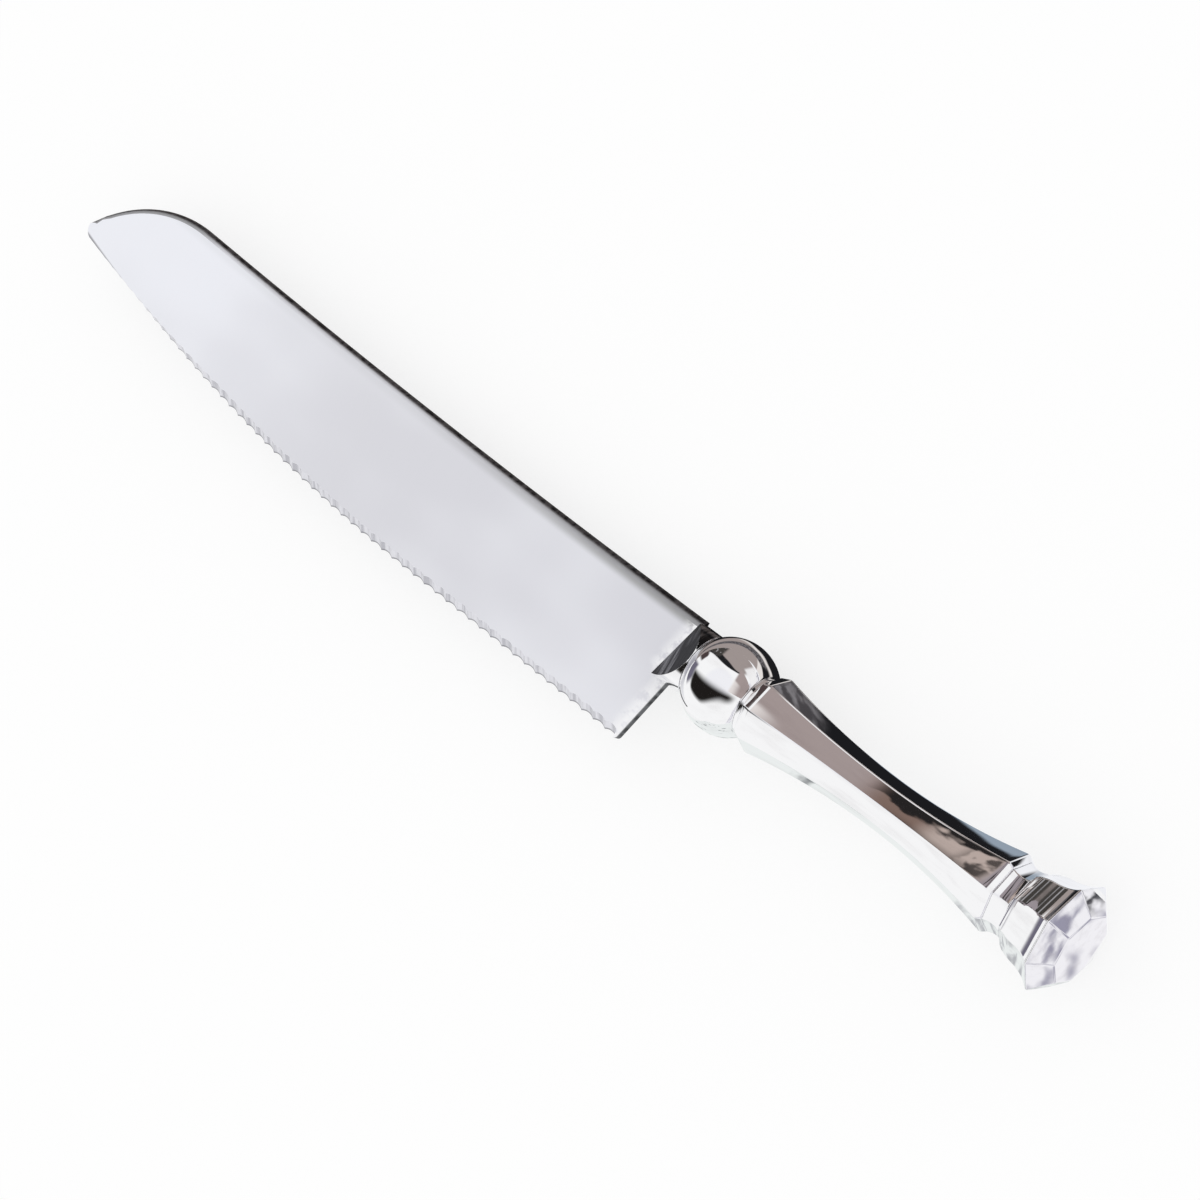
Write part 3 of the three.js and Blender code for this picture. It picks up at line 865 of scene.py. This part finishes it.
edgeCard = {"low": (0.04, -0.16), "high": (0.16, 0.004), "height": 0.0004, "pale": (0.87, 0.9, 0.89, 1),
            "grey": (0.25, 0.26, 0.27, 1), "spots": (110, 80, 1), "spotFade": (0.57, 0.7),
            "spotX": (0.086, 0.08), "haze": (0.5, 0.51, 0.53, 1), "patches": (210, 190, 1),
            "patchFade": (0.43, 0.63), "patchX": (0.12, 0.125), "patchY": (-0.04, -0.03)}


def paintEdge(size, place, x, y, z):
    spots = place.noise(size["spots"], detail=3).ease(*size["spotFade"]) * x.ease(*size["spotX"])
    patches = place.noise(size["patches"], detail=3).ease(*size["patchFade"])
    patches = patches * x.ease(*size["patchX"]) * y.ease(*size["patchY"])
    return patches.tint(spots.tint(size["pale"], size["grey"]), size["haze"]), 1.0


hangCard(edgeCard, "edgeCard", paintEdge)

endCard = {"low": (0.161, -0.2), "high": (0.4, 0.2), "height": 0.0004, "lean": ("Y", -40),
           "pale": (0.93, 0.92, 0.95, 1), "violet": (0.33, 0.32, 0.41, 1), "mottle": (170, 110, 60),
           "mottleFade": (0.46, 0.66), "dark": (0.06, 0.06, 0.07, 1), "flecks": (300, 300, 1),
           "fleckFade": (0.4, 0.6), "fleckX": (0.172, 0.166), "fleckY": (0.02, 0.026)}


def paintEnd(size, place, x, y, z):
    colour = place.noise(size["mottle"]).ease(*size["mottleFade"]).tint(size["pale"], size["violet"])
    flecks = place.noise(size["flecks"]).ease(*size["fleckFade"])
    flecks = flecks * x.ease(*size["fleckX"]) * y.ease(*size["fleckY"])
    return flecks.tint(colour, size["dark"]), 1.0


hangCard(endCard, "endCard", paintEnd)
print("cards hung")


# Soft white light, and the wider surroundings that the handle mirrors, by direction

surround = {"light": (1, 1, 1, 1), "white": (0.98, 0.98, 0.98, 1), "lilac": (0.92, 0.92, 0.95, 1),
            "lilacZ": (0.78, 0.88), "brown": (0.36, 0.31, 0.295, 1), "brownFrom": 46,
            "bow": (0.5, 0.145, 0.052), "brownFade": (-0.02, 0.03), "brownX": (0.55, 0.4),
            "black": (0.015, 0.015, 0.017, 1),
            "streakFrom": (-0.03, 0.01), "streakTo": (0.08, 0.03), "streakX": (0.5, 0.3), "swell": 0.14,
            "swellX": (0.3, -0.35), "olive": (0.055, 0.05, 0.046, 1), "ash": (0.36, 0.35, 0.36, 1),
            "mottle": (8, 8, 8), "mottleFade": (0.58, 0.7), "oliveX": (-0.56, -0.66), "oliveY": (0.2, 0.35),
            "oliveZ": (0.46, 0.36), "oliveFade": (0.02, 0.06), "violet": (0.16, 0.15, 0.2, 1),
            "violetX": (-0.86, -0.93), "violetY": (0.1, 0.0), "violetZ": (0.4, 0.25),
            "umber": (0.07, 0.05, 0.05, 1), "umberX": (-0.88, -0.91), "umberY": (0.12, 0.2, 0.36, 0.44),
            "umberZ": (0.32, 0.24)}


def makeSurround():
    size = surround
    world = bpy.data.worlds.new("softStudio")
    bpy.context.scene.world = world
    world.use_nodes = True
    world.node_tree.nodes.clear()
    sky = Wire(world.node_tree)
    way = sky.add("ShaderNodeTexCoord", {}, {}, "Generated")
    x, y, z = way.split()
    start = math.radians(size["brownFrom"])
    bend, slope, back = size["bow"]
    across = y * math.cos(start) - z * math.sin(start)
    across = across - (bend * x + slope) * x + back  # the brown starts along a bowed line
    seen = z.ease(*size["lilacZ"]).tint(size["white"], size["lilac"])
    brown = across.ease(*size["brownFade"]) * x.ease(*size["brownX"])
    seen = brown.tint(seen, size["brown"])
    streak = across.ease(*size["streakFrom"]) * x.ease(*size["streakX"])
    streak = streak * (across - size["swell"] * x.ease(*size["swellX"])).ease(*size["streakTo"])
    seen = streak.tint(seen, size["black"])
    olive = x.ease(*size["oliveX"]) * y.ease(*size["oliveY"]) * z.ease(*size["oliveZ"])
    olive = olive * across.ease(*size["oliveFade"])
    mottle = way.noise(size["mottle"]).ease(*size["mottleFade"]).tint(size["olive"], size["ash"])
    seen = olive.tint(seen, mottle)
    violet = x.ease(*size["violetX"]) * y.ease(*size["violetY"]) * z.ease(*size["violetZ"])
    seen = violet.tint(seen, size["violet"])
    umber = x.ease(*size["umberX"]) * y.band(*size["umberY"]) * z.ease(*size["umberZ"])
    seen = umber.tint(seen, size["umber"])
    mirrored = sky.add("ShaderNodeLightPath", {}, {}, "Is Glossy Ray")
    colour = mirrored.tint(size["light"], seen)
    light = sky.add("ShaderNodeBackground", {}, {"Color": colour, "Strength": 1.0})
    sky.add("ShaderNodeOutputWorld", {}, {"Surface": light})


makeSurround()
print("surroundings made")


# Camera at the photograph's viewing angle

lookFrom = {"azimuth": 105.8264, "elevation": 58.7007, "roll": -71.4695, "target": (0, 0, 13.2),
            "right": 15.366, "up": -6.783, "away": 866.8, "lens": 116.257, "sensor": 36, "clip": (0.05, 100)}


def makeCamera():
    size = lookFrom
    turn = (Matrix.Rotation(math.radians(size["azimuth"]), 3, "Z")
            @ Matrix.Rotation(math.radians(90 - size["elevation"]), 3, "X")
            @ Matrix.Rotation(math.radians(size["roll"]), 3, "Z"))
    place = (Vector(size["target"]) + turn @ Vector((size["right"], size["up"], size["away"]))) * mm
    data = bpy.data.cameras.new("photoCamera")
    data.lens = size["lens"]
    data.sensor_width = size["sensor"]
    data.clip_start, data.clip_end = size["clip"]
    camera = bpy.data.objects.new("photoCamera", data)
    camera.matrix_world = Matrix.Translation(place) @ turn.to_4x4()
    bpy.context.scene.collection.objects.link(camera)
    bpy.context.scene.camera = camera


makeCamera()
bpy.context.scene.view_settings.view_transform = "Standard"
